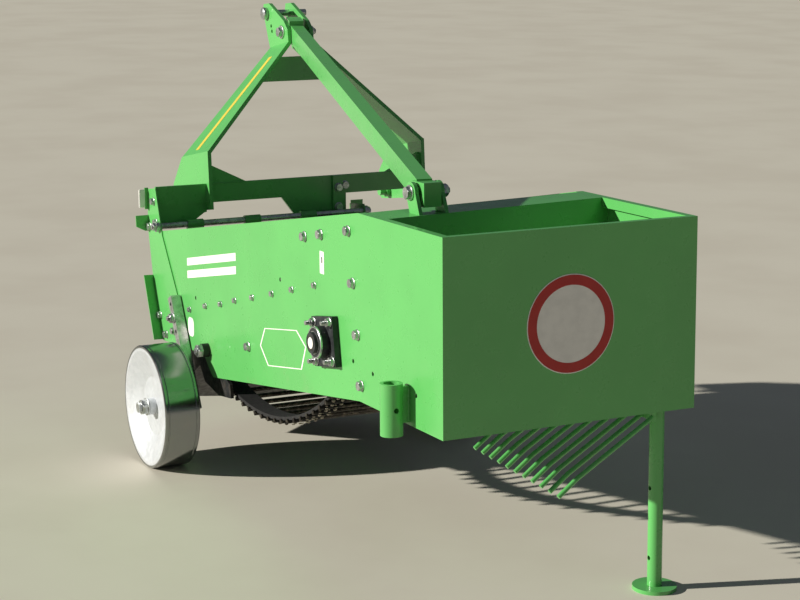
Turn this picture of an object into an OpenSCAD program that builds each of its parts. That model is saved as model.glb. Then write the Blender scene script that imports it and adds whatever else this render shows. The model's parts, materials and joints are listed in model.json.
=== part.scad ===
// Single-row elevator potato digger, mounted on a three-point hitch, parked on its wheels and stand.
// Millimetres. X points to the right, Y forward (the way it travels), Z up. Origin: ground, under the middle.
// Body pieces are drawn level, in machine axes: Y = 0 on the rear panel, X = 0 on the body's centre line.

/* [Parking] */
// Nose-down lean of the whole machine on its stand, degrees
park_pitch = 1.8; // [1.2:0.1:2.6]
// Height of the wheel axle in machine axes
axle_z = 166; // [160:1:175]
// Distance of the wheel axle from the rear panel
axle_y = 1316; // [1306:1:1322]

/* [Body box] */
// Outside width over the two side plates
body_w = 580; // [560:5:600]
// Sheet thickness of the side plates and panels
sheet_t = 3; // [2:0.5:4]
// Lower edge of the rear box
box_bottom = 362; // [340:1:380]
// Upper edge of the rear box
box_top = 758; // [740:1:780]
// Length of the rear box on the left, up to the kink in the top edge
box_length = 374; // [350:1:400]
// Extra length of the box on the right, where the cross member runs askew
box_askew = 68; // [40:1:76]
// Width of the folded rim along the box top
rim_w = 15; // [10:1:25]
// Drop of the lip folded down from the rim at the sides
rim_drop = 21; // [12:1:30]
// Depth of the cross member that closes the box at the front
member_depth = 100; // [80:1:120]
// Drop of the curtain plate under that cross member
curtain_drop = 160; // [100:5:190]

/* [Side plate nose] */
// Upper front corner, distance from the rear panel
nose_top_y = 1656; // [1650:1:1665]
// Upper front corner, height
nose_top_z = 548; // [535:1:560]
// Middle of the front edge, distance from the rear panel
nose_mid_y = 1632; // [1620:1:1640]
// Middle of the front edge, height
nose_mid_z = 440; // [430:1:450]
// Lower front corner, distance from the rear panel
nose_low_y = 1566; // [1555:1:1575]
// Lower front corner, height
nose_low_z = 274; // [268:1:284]
// Lowest point of the keel, distance from the rear panel
keel_y = 1219; // [1205:1:1230]
// Lowest point of the keel, height
keel_z = 245; // [235:1:255]
// Outward reach of the fin folded on the nose edge
fin_reach = 27; // [15:1:35]
// Height of the tab that rises to the hitch beam
tab_top_z = 667; // [655:1:680]

/* [Conveyor web] */
// Head shaft, distance from the rear panel
head_y = 524; // [515:1:540]
// Head shaft, height
head_z = 463; // [455:1:470]
// Front roller shaft, distance from the rear panel
front_y = 1249; // [1240:1:1260]
// Front roller shaft, height
front_z = 308; // [300:1:315]
// Radius of the belt middle round the head drums
head_wrap_r = 68; // [60:1:75]
// Radius of the belt middle round the front rollers
front_wrap_r = 50; // [42:1:56]
// Belt thickness
belt_t = 8; // [6:1:10]
// Belt width
belt_w = 45; // [30:1:60]
// Gap from the side plate to the middle of an outer belt
belt_in = 42; // [36:1:80]
// Diameter of the cross rods
rod_d = 11; // [9:0.5:13]
// Gap from the side plate to the end of a cross rod
rod_gap = 15; // [12:1:30]
// Number of cross rods round the loop
rod_count = 49; // [42:1:51]
// Pull that lets the slack run hang, at the head end
sag_head = 190; // [150:5:220]
// Pull that lets the slack run hang, at the front end
sag_front = 370; // [300:5:390]
// Teeth on a drive star, one for each rod pitch
star_teeth = 11; // [11:1:11]
// Diameter of the head shaft
head_shaft_d = 35; // [25:1:40]
// Diameter of the front roller shaft
front_shaft_d = 20; // [16:1:24]

/* [Wheels] */
// Wheel radius
wheel_r = 153; // [146:1:156]
// Wheel width over the rim
wheel_w = 88; // [70:1:92]
// Outer face of the rim, distance out from the side plate
wheel_reach = 145; // [142:1:160]
// Depth of the dished disc below the rim face
dish_depth = 24; // [15:1:32]
// Radius of the flat middle of the disc
flat_r = 73; // [60:1:90]
// Sheet thickness of the drum and disc
wheel_t = 3; // [2:0.5:5]
// Outside radius of the hub tube
hub_r = 21; // [19:1:26]
// Radius of the axle spindle
axle_r = 12.5; // [10:0.5:14]
// Radial running clearance of hub on spindle
axle_clear = 0.08; // [0.03:0.01:0.1]
// Side of the square wheel arm
arm_side = 25; // [20:1:28]
// Top end of the arm, distance from the rear panel
arm_top_y = 1442; // [1434:1:1450]
// Top end of the arm, height
arm_top_z = 412; // [405:1:420]

/* [Hitch] */
// Sideways offset of the hitch from the body's centre line
hitch_x = 168; // [160:1:176]
// Span over the outer faces of the mast legs
mast_span = 634; // [626:1:640]
// Plate thickness of the mast legs
leg_t = 10; // [8:0.5:12]
// Lower hitch pin axis, distance from the rear panel
low_pin_y = 1790; // [1780:1:1800]
// Lower hitch pin axis, height
low_pin_z = 592; // [586:1:600]
// Lower hitch pin diameter
low_pin_d = 22; // [22:0.1:28]
// Free length of a lower pin beyond its shoulder
low_pin_free = 50; // [42:1:60]
// Length of a lower pin's shoulder
shoulder_l = 24.5; // [20:0.5:28]
// Top link pin axis, distance from the rear panel
top_pin_y = 1838; // [1832:1:1842]
// Top link pin axis, below the tongue tips
top_pin_drop = 28; // [24:1:32]
// Top link pin diameter
top_pin_d = 19; // [19:0.1:25]
// Clear gap between the two mast tongues
tongue_gap = 55; // [48:1:60]
// Height of the tongue tips
mast_top_z = 1127; // [1122:1:1134]
// Height of the hitch beam
beam_h = 50; // [46:1:54]
// Depth of the beam's lower leg
beam_leg = 50; // [40:1:54]
// Thickness of the beam and of the plates under it
beam_t = 8; // [6:1:10]
// Rear face of the hitch beam, distance from the rear panel
beam_y = 1600; // [1596:1:1604]
// Underside of the hitch beam
beam_z = 623; // [619:1:624]
// Wall thickness of tubes
tube_t = 4; // [3:0.5:5]

/* [Back strut] */
// Rear eye, in from the left side plate
strut_in = 129; // [120:1:140]
// Rear eye, distance from the rear panel
strut_rear_y = 322; // [316:1:328]
// Rear eye, height
strut_rear_z = 800; // [796:1:805]
// Front eye, distance from the rear panel
strut_front_y = 1735; // [1730:1:1740]
// Front eye, below the tongue tips
strut_drop = 74; // [69:1:82]
// Width of the strut tube
strut_w = 33; // [28:1:34]
// Height of the strut tube
strut_h = 48; // [40:1:52]

/* [Share] */
// Rear edge of the share, distance from the rear panel
share_y = 1325; // [1318:1:1330]
// Rear edge of the share, height
share_z = 262; // [258:1:266]
// Slope of the share, degrees
share_slope = 30; // [26:0.5:32]
// Length of the share at its point
share_l = 345; // [300:5:355]
// Length of the share at its sides
share_side_l = 250; // [200:5:280]
// Plate thickness of share and brackets
share_t = 8; // [6:1:10]

/* [Tine grate] */
// Number of tines
tine_count = 11; // [7:1:11]
// Spacing of the tines
tine_pitch = 35; // [30:0.5:36]
// Diameter of the tines
tine_d = 10; // [8:0.5:12]
// Rise from tine to tine
tine_rise = 1.9; // [0:0.1:3]
// First tine, distance from the rear panel
tine_y = 16; // [14:0.5:18]
// Carrier bar, in from the right side plate
tine_bar_in = 92; // [88:1:100]
// Bend of the tines, left of the bar
tine_bend_in = 176; // [160:1:196]
// Bend of the tines, height
tine_bend_z = 243; // [235:1:255]
// Radius of that bend
tine_bend_r = 60; // [40:1:80]
// Tips, left of the bar
tine_tip_in = 220; // [208:1:236]
// Tips, height
tine_tip_z = 210; // [200:1:225]

/* [Stand] */
// Stand leg, in from the right side plate
stand_in = 62; // [58:1:64]
// Stand leg, distance from the rear panel
stand_y = 42; // [41:1:46]
// Outside radius of the stand leg
stand_r = 15.5; // [13:0.5:16]
// Foot radius
foot_r = 46.5; // [35:0.5:55]
// Foot thickness
foot_t = 8; // [5:1:12]
// Top end of the stand leg, height in machine axes
stand_top = 505; // [495:1:520]
// Radial clearance of the leg in its socket
stand_clear = 0.09; // [0.04:0.01:0.1]
// Outside radius of the empty side socket
socket_r = 23; // [21:0.5:25]
// Length of the empty side socket
socket_l = 106; // [90:1:120]
// Empty side socket, distance from the rear panel
socket_y = 151; // [130:1:170]
// Empty side socket, out from the left side plate
socket_out = 36; // [32:1:40]

/* [Drive] */
// Input shaft, in from the right side plate
pto_in = 93; // [90:1:100]
// Input shaft, height
pto_z = 528; // [522:1:532]
// Cross shaft of the gearbox, distance from the rear panel
cross_y = 1400; // [1390:1:1405]
// Radius of the input shaft
pto_r = 17.4; // [17:0.1:18]
// Free length of the input shaft
pto_l = 78; // [60:1:85]
// Mouth radius of the shaft guard
guard_r = 86; // [80:1:86]
// Width of the chain case
case_w = 44; // [36:1:50]

/* [Hidden] */

$fn = 48;
green = "#3fae49";
dark = "#2a2c2e";
zinc = "#c8cbcc";
half_w = body_w / 2;
inner_x = half_w - sheet_t;
wheel_out_x = half_w + wheel_reach;
wheel_in_x = wheel_out_x - wheel_w;
belt_x = inner_x - belt_in;
rod_l = 2 * (inner_x - rod_gap);
strut_rear_x = strut_in - half_w;
tine_bar_x = half_w - tine_bar_in;
stand_x = half_w - stand_in;
socket_x = -half_w - socket_out;
pto_x = half_w - pto_in;
gearbox_y = beam_y;
nut_x = wheel_out_x + 19;
leg_out_r = hitch_x + mast_span / 2;
leg_out_l = hitch_x - mast_span / 2;
pin_end_x = leg_out_r + shoulder_l + low_pin_free;
origin_x = (pin_end_x - nut_x) / 2;
stand_dy = stand_y - axle_y;
foot_dz = (-wheel_r - stand_dy * -sin(park_pitch)) / cos(park_pitch);
stand_ground_y = stand_dy * cos(park_pitch) + foot_dz * sin(park_pitch);
mast_front_y = 1862;
mast_tip_z = mast_top_z - 19;
top_pin_z = mast_top_z - top_pin_drop;
strut_front_z = mast_top_z - strut_drop;
front_end = (mast_front_y - axle_y) * cos(park_pitch) + (mast_tip_z - axle_z) * sin(park_pitch);
origin_y = (stand_ground_y - foot_r + front_end) / 2;
foot_z = axle_z + foot_dz;
arm_lean = atan2(arm_top_y - axle_y, arm_top_z - axle_z);
arm_x = half_w + sheet_t + arm_side / 2;
tongue_x = tongue_gap / 2;
bend = [1587, 758];
bend_tilt = 10;
bend_w = 195;
apex_y = 1690;
apex_z = mast_top_z - 97;
apex_w = 127;
eps = 0.01;

// Places a piece drawn in machine axes where it stands when parked
module parked() {
    translate([-origin_x, -origin_y, wheel_r])
        rotate([-park_pitch, 0, 0])
            translate([0, -axle_y, -axle_z])
                children();
}

// Upright plate in the Y-Z plane, from x0 towards the right
module yz_plate(x0, t) {
    translate([x0, 0, 0]) rotate([90, 0, 90]) linear_extrude(t) children();
}

// Upright plate in the X-Z plane, from y0 forward
module xz_plate(y0, t) {
    translate([0, y0 + t, 0]) rotate([90, 0, 0]) linear_extrude(t) children();
}

// Round bar along X
module x_bar(x0, x1, y, z, r) {
    translate([x0, y, z]) rotate([0, 90, 0]) cylinder(h = x1 - x0, r = r);
}

// Round bar along Y
module y_bar(y0, y1, x, z, r) {
    translate([x, y1, z]) rotate([90, 0, 0]) cylinder(h = y1 - y0, r = r);
}

// Side plate outline; kink is the length of its level top edge
module side_outline(kink) {
    polygon([[0, box_bottom], [box_length, box_bottom], [keel_y, keel_z], [keel_y + 22, keel_z + 14],
        [keel_y + 58, keel_z + 45], [1400, nose_low_z + 12], [nose_low_y, nose_low_z],
        [nose_mid_y, nose_mid_z], [nose_top_y, nose_top_z], [kink, box_top], [0, box_top]]);
}

// Open holes left in the side plates: y, z, radius
side_holes = [[404, 442, 5], [310, 433, 5], [114, 428, 5], [786, 556, 5], [1326, 426, 5]];

// Side plate drawn for the left side
module side_plate(kink) {
    difference() {
        union() {
            yz_plate(-half_w, sheet_t) side_outline(kink);
            translate([-half_w, 0, box_top - sheet_t]) cube([sheet_t + rim_w, kink, sheet_t]);
            translate([rim_w - inner_x - sheet_t, sheet_t, box_top - rim_drop])
                cube([sheet_t, kink - sheet_t, rim_drop]);
        }
        for (h = side_holes) x_bar(-half_w - 1, 1 - inner_x, h[0], h[1], h[2]);
        x_bar(-half_w - 1, 1 - inner_x, head_y, head_z, head_shaft_d / 2 + 4);
        x_bar(-half_w - 1, 1 - inner_x, front_y, front_z, front_shaft_d / 2 + 0.5);
    }
}

module side_plate_left() {
    color(green) parked() side_plate(box_length);
}

module side_plate_right() {
    color(green) parked() difference() {
        mirror([1, 0, 0]) side_plate(box_length + box_askew);
        x_bar(inner_x - 1, half_w + 1, case_ends[0][0], case_ends[0][1], 24);
    }
}

// Outline of a nose plate; tab is the height of the tab that rises beside the hitch beam
module nose_outline(tab) {
    polygon([[1446, 406], [1400, 340], [1400, nose_low_z + 14], [nose_low_y, nose_low_z + 2],
        [nose_mid_y, nose_mid_z], [nose_top_y, nose_top_z], [1657, tab - 5],
        [1552 + (tab + 4 - 552) * 0.36, tab + 4], [1552, 552]]);
}

// Nose plate drawn for the left side, outer face towards -X
module nose_plate(tab) {
    edge = [nose_mid_y - nose_low_y, nose_mid_z - nose_low_z - 2];
    edge_lean = atan2(edge[0], edge[1]);
    x0 = -half_w - sheet_t;
    difference() {
        union() {
            yz_plate(x0, sheet_t) nose_outline(tab);
            translate([x0, nose_low_y, nose_low_z + 2]) rotate([-edge_lean, 0, 0])
                translate([0, 0, 2]) linear_extrude(norm(edge) - 4)
                    polygon([[sheet_t, 1], [-fin_reach, -4], [-fin_reach, -7], [sheet_t, -2]]);
            if (tab > beam_z) translate([x0 - 9, nose_top_y - sheet_t - 1, beam_z - 13])
                cube([10, sheet_t, tab - beam_z + 12]);
            xz_plate(nose_top_y - sheet_t - 1, sheet_t)
                polygon([[x0 + 1, nose_top_z + 46], [x0 - 35, nose_top_z + 46], [x0 - 34, nose_top_z + 17],
                    [x0 - 10, nose_top_z + 5], [x0 + 1, nose_top_z + 5]]);
        }
        translate([0, 1507, 511]) rotate([-36, 0, 0]) translate([x0 - 1, -5, -50])
            cube([sheet_t + 2, 10, 50]);
        x_bar(x0 - 1, x0 + sheet_t + 1, rod_y, rod_z, rod_r + 0.15);
    }
}

module nose_plate_left() {
    color(green) parked() nose_plate(tab_top_z);
}

module nose_plate_right() {
    color(green) parked() mirror([1, 0, 0]) nose_plate(rod_z + 16);
}

module rear_panel() {
    color(green) parked() {
        translate([-inner_x, 0, box_bottom]) cube([2 * inner_x, sheet_t, box_top - sheet_t - box_bottom]);
        translate([-inner_x + rim_w, 0, box_top - sheet_t - eps])
            cube([2 * (inner_x - rim_w), rim_w, sheet_t + eps]);
        translate([-inner_x, 0, box_bottom]) cube([2 * inner_x, panel_lip, sheet_t]);
    }
}

// Depth of the lip folded forward along the panel's lower edge
panel_lip = 10;

// The cross member runs askew: its rear and front edges at a distance from the centre line
askew = box_askew / body_w;
function member_rear(x) = box_length + box_askew / 2 - 8 - member_depth + askew * x;
function member_front(x) = member_rear(x) + member_depth;

// Upright strip askew across the box; y0 is its rear face on the centre line
module askew_strip(y0, reach, z0, z1) {
    translate([0, 0, z0]) linear_extrude(z1 - z0) polygon([[-reach, y0 - askew * reach],
        [reach, y0 + askew * reach], [reach, y0 + askew * reach + sheet_t],
        [-reach, y0 - askew * reach + sheet_t]]);
}

// Plate of the cross member that hangs from its top, notched round the rims
module member_side(y0, drop) {
    askew_strip(y0, inner_x, box_top - drop, box_top - rim_drop);
    askew_strip(y0, inner_x - rim_w, box_top - rim_drop - eps, box_top - sheet_t + eps);
}

module box_member() {
    reach = inner_x - rim_w;
    color(green) parked() {
        translate([0, 0, box_top - sheet_t]) linear_extrude(sheet_t)
            polygon([[-reach, member_rear(-reach)], [reach, member_rear(reach)],
                [reach, member_front(reach)], [-reach, member_front(-reach)]]);
        member_side(member_rear(0), curtain_drop);
        member_side(member_front(0) - sheet_t, 50);
    }
}

// Left faces of the two ears, measured from the strut's rear eye
ear_x = [-34, 26];
ear_t = 8;

module strut_bracket() {
    color(green) parked() difference() {
        translate([strut_rear_x, 0, 0]) {
            for (x = ear_x) yz_plate(x, ear_t) {
                polygon([[strut_rear_y - 40, box_top], [strut_rear_y + 4, box_top],
                    [strut_rear_y + 22, strut_rear_z], [strut_rear_y - 22, strut_rear_z]]);
                translate([strut_rear_y, strut_rear_z]) circle(r = 22);
            }
        }
        x_bar(strut_rear_x - 40, strut_rear_x + 40, strut_rear_y, strut_rear_z, 8.15);
    }
}

module back_strut() {
    dx = hitch_x - strut_rear_x;
    dy = strut_front_y - strut_rear_y;
    dz = strut_front_z - strut_rear_z;
    len_xy = norm([dx, dy]);
    l = norm([dx, dy, dz]);
    color(green) parked() {
        translate([strut_rear_x, strut_rear_y, strut_rear_z])
            rotate([0, 0, -atan2(dx, dy)]) rotate([atan2(dz, len_xy), 0, 0]) {
                difference() {
                    translate([-strut_w / 2, 10, -strut_h / 2]) cube([strut_w, l, strut_h]);
                    translate([-strut_w / 2 + tube_t, 30, -strut_h / 2 + tube_t])
                        cube([strut_w - 2 * tube_t, l - 60, strut_h - 2 * tube_t]);
                }
                translate([-strut_w / 2 - 4, l - 32, -strut_h / 2 - 3]) cube([strut_w + 6, 50, strut_h + 15]);
            }
        translate([strut_rear_x - 20, strut_rear_y - 34, strut_rear_z - 28]) cube([40, 58, 50]);
        x_bar(strut_rear_x - 38, strut_rear_x + 38, strut_rear_y, strut_rear_z, 8);
        x_bar(hitch_x - tongue_x - leg_t - 4, hitch_x + tongue_x + leg_t + 4, strut_front_y,
            strut_front_z, 8);
    }
}

// Angle bar with its upright leg to the rear and its other leg forward along the bottom
module beam_bar(x0, x1) {
    translate([x0, 0, 0]) rotate([90, 0, 90]) linear_extrude(x1 - x0)
        polygon([[beam_y, beam_z], [beam_y + beam_leg, beam_z], [beam_y + beam_leg, beam_z + beam_t],
            [beam_y + beam_t, beam_z + beam_t], [beam_y + beam_t, beam_z + beam_h], [beam_y, beam_z + beam_h]]);
}

module hitch_beam() {
    color(green) parked() {
        beam_bar(leg_out_l + leg_t, leg_out_r - leg_t);
        beam_bar(-half_w, leg_out_l);
        xz_plate(beam_y + 2, beam_t) polygon([[-half_w, beam_z + beam_t], [-half_w, beam_z - 61],
            [leg_out_l - 39, beam_z - 61], [leg_out_l - 34, beam_z - 44], [leg_out_l - 8, beam_z - 26],
            [leg_out_l, beam_z - 24], [leg_out_l, beam_z + beam_t]]);
    }
}

leg_run = mast_span / 2 - tongue_x - leg_t;
bend_dy = (apex_y - bend[0]) * cos(bend_tilt) - (apex_z - bend[1]) * sin(bend_tilt);
bend_dz = (apex_y - bend[0]) * sin(bend_tilt) + (apex_z - bend[1]) * cos(bend_tilt);
leg_slope = atan2(leg_run, bend_dz);
leg_l = norm([leg_run, bend_dz]);

// Half the clear width between the sloping legs at a height and distance from the rear panel
function leg_gap(y, z) = mast_span / 2 - leg_t / cos(leg_slope)
    - ((y - bend[0]) * sin(bend_tilt) + (z - bend[1]) * cos(bend_tilt)) * tan(leg_slope);

// Bent mast leg drawn for the left side, with x measured from the hitch centre
module mast_leg() {
    x0 = -mast_span / 2;
    difference() {
        union() {
            yz_plate(x0, leg_t)
                polygon([bend + [0, 2], [1582, 684], [1577, 607], [1625, 600], [1685, 585],
                    [low_pin_y - 10, low_pin_z - 20], [low_pin_y + 45, low_pin_z - 26],
                    [low_pin_y + 60, low_pin_z - 18], [1850, 645], bend + [192, -32]]);
            translate([x0, bend[0], bend[1]]) rotate([-bend_tilt, 0, 0]) rotate([0, leg_slope, 0])
                rotate([90, 0, 90]) linear_extrude(leg_t)
                    polygon([[0, 0], [bend_w, 0], [bend_dy + apex_w, leg_l], [bend_dy, leg_l]]);
            yz_plate(-tongue_x - leg_t, leg_t)
                polygon([[apex_y, apex_z - 6], [apex_y + 7, apex_z + 32], [apex_y + 30, apex_z + 53],
                    [apex_y + 87, mast_tip_z], [top_pin_y - 16, mast_top_z], [top_pin_y + 20, mast_top_z - 3],
                    [mast_front_y, mast_tip_z], [top_pin_y + 8, apex_z + 36],
                    [apex_y + apex_w, apex_z - 28]]);
        }
        x_bar(x0 - 1, x0 + leg_t + 1, low_pin_y, low_pin_z, low_pin_d / 2 + 0.15);
        x_bar(-tongue_x - leg_t - 1, -tongue_x + 1, top_pin_y, top_pin_z, top_pin_d / 2 + 0.15);
        x_bar(-tongue_x - leg_t - 1, -tongue_x + 1, strut_front_y, strut_front_z, 8.15);
        for (k = [0, 1])
            x_bar(-tongue_x - leg_t - 1, -tongue_x + 1, top_pin_y - 35 + 5 * k, apex_z + 22 + 14 * k, 5);
    }
}

module mast_leg_left() {
    color(green) parked() translate([hitch_x, 0, 0]) mast_leg();
}

module mast_leg_right() {
    color(green) parked() translate([hitch_x, 0, 0]) mirror([1, 0, 0]) mast_leg();
}

module mast_gussets() {
    x0 = -mast_span / 2 + leg_t;
    z0 = beam_z + beam_h;
    color(green) parked() translate([hitch_x, 0, 0]) for (s = [0, 1]) mirror([s, 0, 0])
        xz_plate(beam_y, beam_t) polygon([[x0, z0], [x0 + 102, z0], [x0 + 4, z0 + 48], [x0, z0 + 48]]);
}

module mast_tie() {
    y0 = apex_y + 16;
    z0 = apex_z - 107;
    z1 = apex_z - 42;
    lo = leg_gap(y0 + 8, z0) - 0.3;
    hi = leg_gap(y0 + 8, z1) - 0.3;
    color(green) parked() translate([hitch_x, 0, 0])
        xz_plate(y0, 8) polygon([[-lo, z0], [lo, z0], [hi, z1], [-hi, z1]]);
}

module top_link_pin() {
    x0 = hitch_x - tongue_x - leg_t;
    color(zinc) parked() {
        x_bar(x0 - 10, hitch_x + tongue_x + leg_t + 40, top_pin_y, top_pin_z, top_pin_d / 2);
        x_bar(x0 - 6, x0, top_pin_y, top_pin_z, 16);
    }
}

// Lower pin pointing right; x0 is the outer face of its mast leg
module lower_pin(x0) {
    x_bar(x0 - leg_t - 30, x0 + shoulder_l + low_pin_free, low_pin_y, low_pin_z, low_pin_d / 2);
    x_bar(x0, x0 + shoulder_l, low_pin_y, low_pin_z, 16);
    x_bar(x0 - leg_t - 12, x0 - leg_t, low_pin_y, low_pin_z, 16);
}

module lower_pin_left() {
    color(green) parked() mirror([1, 0, 0]) lower_pin(-leg_out_l);
}

module lower_pin_right() {
    color(green) parked() lower_pin(leg_out_r);
}

rod_y = 1574;
rod_z = 574;
rod_r = 8.5;
// Sleeves on the cross rod, centres along X
sleeve_x = [-194, -33, 128];

module cross_rod() {
    color(zinc) parked() {
        x_bar(-half_w - sheet_t - 14, half_w + sheet_t + 14, rod_y, rod_z, rod_r);
        x_bar(-half_w - sheet_t - 10, -half_w - sheet_t, rod_y, rod_z, 14);
        x_bar(half_w + sheet_t, half_w + sheet_t + 10, rod_y, rod_z, 14);
    }
}

module rod_sleeves() {
    color(green) parked() for (x = sleeve_x) difference() {
        x_bar(x - 22, x + 22, rod_y, rod_z, 12);
        x_bar(x - 23, x + 23, rod_y, rod_z, rod_r + 0.15);
    }
}

module gearbox_plate() {
    color(green) parked() difference() {
        union() {
            xz_plate(beam_y, beam_t) polygon([[pto_x - 133, beam_z], [pto_x - 99, beam_z - 45],
                [pto_x - 80, beam_z - 72], [pto_x - 66, pto_z - 58], [pto_x + 56, pto_z - 58],
                [pto_x + 56, beam_z]]);
            translate([pto_x + 15, beam_y - beam_t, beam_z - 43]) cube([29, beam_t, beam_h + 43]);
        }
        y_bar(gearbox_y - 1, gearbox_y + beam_t + 1, pto_x, pto_z, 38);
    }
}

// Bevel gearbox: a body round the cross shaft, a neck round the input shaft and its flange
module gearbox() {
    color(dark) parked() {
        translate([pto_x - 58, cross_y - 62, pto_z - 55]) cube([116, 128, 110]);
        x_bar(pto_x - 70, pto_x + 70, cross_y, pto_z, 46);
        y_bar(cross_y + 60, gearbox_y + 12, pto_x, pto_z, 34);
        y_bar(gearbox_y - 7, gearbox_y, pto_x, pto_z, 46);
    }
}

module pto_shaft() {
    color(zinc) parked() y_bar(gearbox_y + 12, gearbox_y + 12 + pto_l, pto_x, pto_z, pto_r);
}

module pto_guard() {
    wall = 4;
    color(dark) parked() translate([pto_x, gearbox_y + beam_t, pto_z]) rotate([-90, 0, 0])
        rotate_extrude() polygon([[46, 0], [66, 0], [74, 6], [guard_r, 52], [guard_r - wall, 52],
            [71, 9], [64, wall], [46, wall]]);
}

module cross_shaft() {
    color(zinc) parked() x_bar(pto_x + 70, half_w + 38, case_ends[0][0], case_ends[0][1], 15);
}

// Ends of the chain case: y, z, radius
case_ends = [[cross_y, pto_z, 66], [head_y, head_z, 88]];

// Points on a round stretch from angle a0 to a1
function arc(c, r, a0, a1, n) = [for (i = [0 : n]) c + r * [cos(a0 + (a1 - a0) * i / n),
    sin(a0 + (a1 - a0) * i / n)]];

// Outline of the case: an arc round each end, joined by their common tangents
function case_points(grow) = let (
    a = [case_ends[0][0], case_ends[0][1]],
    b = [case_ends[1][0], case_ends[1][1]],
    along_a = atan2(a[1] - b[1], a[0] - b[0]),
    lean = acos((case_ends[1][2] - case_ends[0][2]) / norm(a - b)))
    concat(arc(a, case_ends[0][2] + grow, along_a - lean, along_a + lean, 24),
        arc(b, case_ends[1][2] + grow, along_a + lean, along_a + 360 - lean, 28));

module chain_case() {
    color(green) parked() difference() {
        yz_plate(half_w + 0.3, case_w) polygon(case_points(0));
        yz_plate(half_w + 0.3 + sheet_t, case_w - 2 * sheet_t) polygon(case_points(-sheet_t));
        for (e = case_ends) x_bar(half_w, half_w + sheet_t + 1, e[0], e[1], 24);
    }
}

module head_shaft() {
    color(dark) parked() {
        x_bar(-half_w - 44, half_w + case_w - sheet_t - 2, head_y, head_z, head_shaft_d / 2);
        for (x = [-belt_x, 0, belt_x]) x_bar(x - 24, x + 24, head_y, head_z, head_wrap_r - belt_t / 2 - 0.3);
        for (x = [-belt_x / 2, belt_x / 2]) yz_plate(x - 9, 18) translate([head_y, head_z]) drive_star();
    }
}

// Drive star: a disc whose teeth reach out between the rods as they pass
module drive_star() {
    tip_r = head_wrap_r + 10;
    root_r = head_wrap_r - 14;
    circle(r = root_r);
    for (i = [0 : star_teeth - 1]) rotate(star_turn + i * 360 / star_teeth)
        polygon([[0, -10], [root_r, -10], [tip_r - 3, -6], [tip_r, -3], [tip_r, 3], [tip_r - 3, 6],
            [root_r, 10], [0, 10]]);
}

module head_bearing() {
    color(dark) parked() difference() {
        union() {
            translate([-half_w - 14, head_y, head_z]) rotate([-9, 0, 0]) translate([0, -54, -54])
                cube([13.7, 108, 108]);
            x_bar(-half_w - 35, -half_w - 10, head_y, head_z, 34.5);
        }
        x_bar(-half_w - 36, -half_w + 1, head_y, head_z, head_shaft_d / 2 + 0.3);
    }
}

head_c = [head_y, head_z];
front_c = [front_y, front_z];
web_dir = head_c - front_c;
tangent_a = atan2(web_dir[1], web_dir[0]) - acos((front_wrap_r - head_wrap_r) / norm(web_dir));
leave_a = 220;
join_a = -67.5;
function on_circle(c, r, a) = c + r * [cos(a), sin(a)];
function along(a) = [-sin(a), cos(a)];
sag_p0 = on_circle(head_c, head_wrap_r, leave_a);
sag_p1 = sag_p0 + sag_head * along(leave_a);
sag_p3 = on_circle(front_c, front_wrap_r, join_a);
sag_p2 = sag_p3 - sag_front * along(join_a);
function sag(t) = pow(1 - t, 3) * sag_p0 + 3 * pow(1 - t, 2) * t * sag_p1
    + 3 * (1 - t) * t * t * sag_p2 + t * t * t * sag_p3;
function sag_dir(t) = 3 * pow(1 - t, 2) * (sag_p1 - sag_p0) + 6 * (1 - t) * t * (sag_p2 - sag_p1)
    + 3 * t * t * (sag_p3 - sag_p2);
arc_n = 14;
sag_n = 22;
// The belt middle all the way round, each point with its outward direction
web_path = concat(
    [for (i = [0 : arc_n]) let (a = tangent_a + (leave_a - tangent_a) * i / arc_n)
        [on_circle(head_c, head_wrap_r, a), a]],
    [for (i = [1 : sag_n - 1]) let (d = sag_dir(i / sag_n)) [sag(i / sag_n), atan2(-d[0], d[1])]],
    [for (i = [0 : arc_n]) let (a = join_a + (tangent_a - join_a) * i / arc_n)
        [on_circle(front_c, front_wrap_r, a), a]]);
path_n = len(web_path);
function gap(i) = norm(web_path[(i + 1) % path_n][0] - web_path[i][0]);
function run_to(i) = i == 0 ? 0 : run_to(i - 1) + gap(i - 1);
web_l = run_to(path_n);
run_y = [for (i = [0 : path_n]) [run_to(i), web_path[i % path_n][0][0]]];
run_z = [for (i = [0 : path_n]) [run_to(i), web_path[i % path_n][0][1]]];
function on_web(s) = [lookup(s, run_y), lookup(s, run_z)];
function offset_path(d) = [for (p = web_path) p[0] + d * [cos(p[1]), sin(p[1])]];

// Middles of the cross rods, on the outer face of the belts
rods = [for (i = [0 : rod_count - 1]) let (s = web_l * (i + 0.5) / rod_count, p = on_web(s),
    d = on_web(min(s + 3, web_l)) - on_web(max(s - 3, 0)))
    p + (belt_t / 2 + 2.5) * [d[1], -d[0]] / norm(d)];
// Half-way angle between the second and third rods on the head shaft
function rod_angle(i) = atan2(rods[i][1] - head_z, rods[i][0] - head_y);
star_turn = (rod_angle(1) + rod_angle(2)) / 2;

module web() {
    color(dark) parked() {
        for (x = [-belt_x, 0, belt_x]) yz_plate(x - belt_w / 2, belt_w) difference() {
            polygon(offset_path(belt_t / 2));
            polygon(offset_path(-belt_t / 2));
        }
        for (q = rods) x_bar(-rod_l / 2, rod_l / 2, q[0], q[1], rod_d / 2);
    }
}

// Ends of the guide strips' middle line, in step with the belts' upper run
strip_ends = [[front_y + 128, front_z + 74], [head_y + 59, head_z + 104]];

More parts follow.
